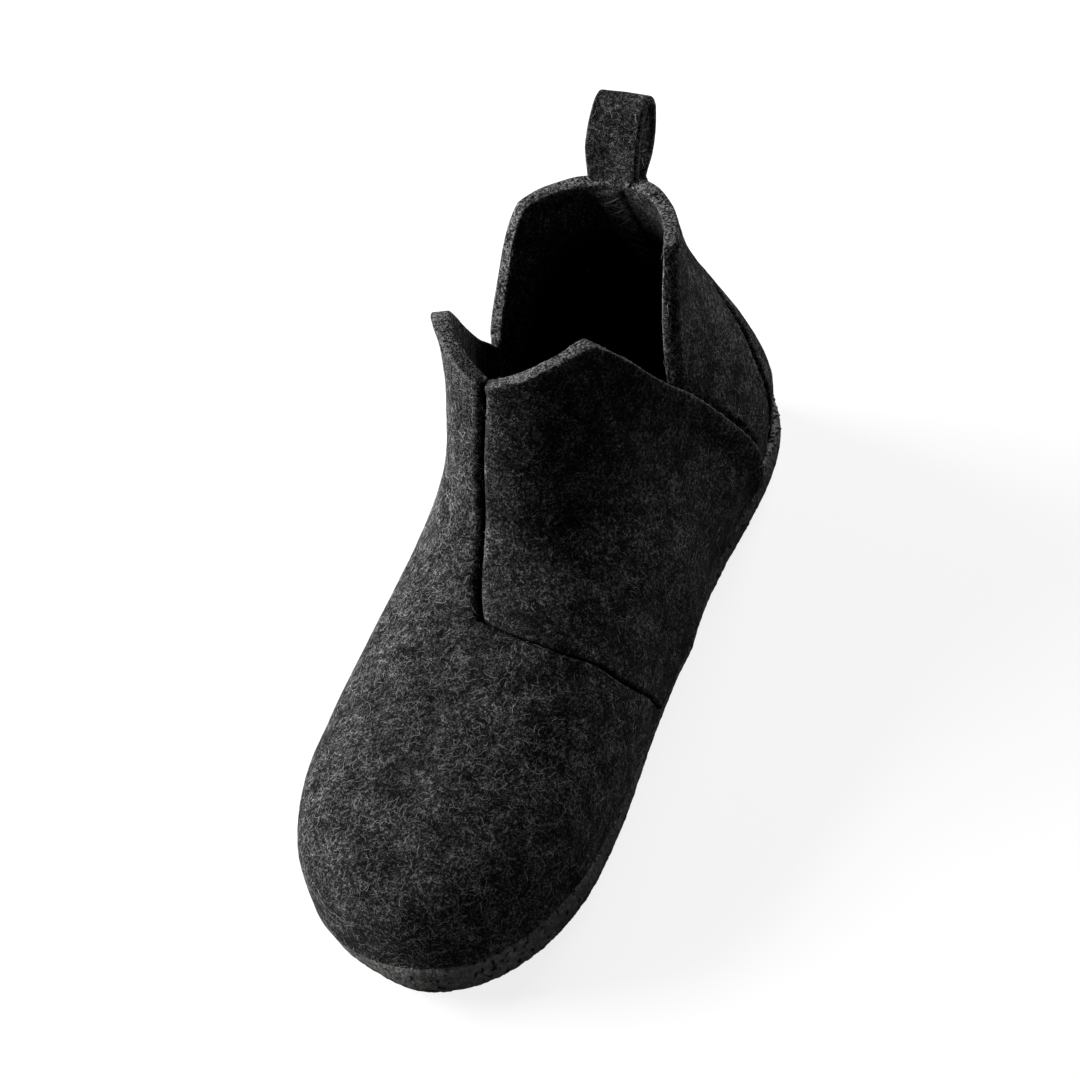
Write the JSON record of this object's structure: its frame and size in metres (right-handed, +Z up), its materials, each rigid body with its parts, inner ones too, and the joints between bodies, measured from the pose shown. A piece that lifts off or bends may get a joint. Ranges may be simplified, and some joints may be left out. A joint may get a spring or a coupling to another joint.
{
  "type": "felt slipper",
  "caption": "Charcoal wool-felt slipper boot with slanted overlapping quarters, a heel pull loop with a plain metal button, and a rough black crumb sole",
  "frame": {"origin": "centre of the slipper's box, on the floor under the sole", "axes": "+Y from the toe to the heel, +X to the foot's inner side, +Z up"},
  "size_m": [0.0924, 0.2502, 0.1319],
  "materials": {
    "felt": "matte, fuzzy wool felt with light fibres",
    "tread": "rough black rubber",
    "crumb": "rough bonded crumb, black-brown",
    "footbed": "matte felt",
    "metal": "worn grey metal"
  },
  "bodies": {
    "root": {"outsole": "tread", "sole_rim": "crumb", "insole": "footbed", "upper": "felt", "pull_loop": "felt", "loop_button": "metal"}
  },
  "joints": []
}
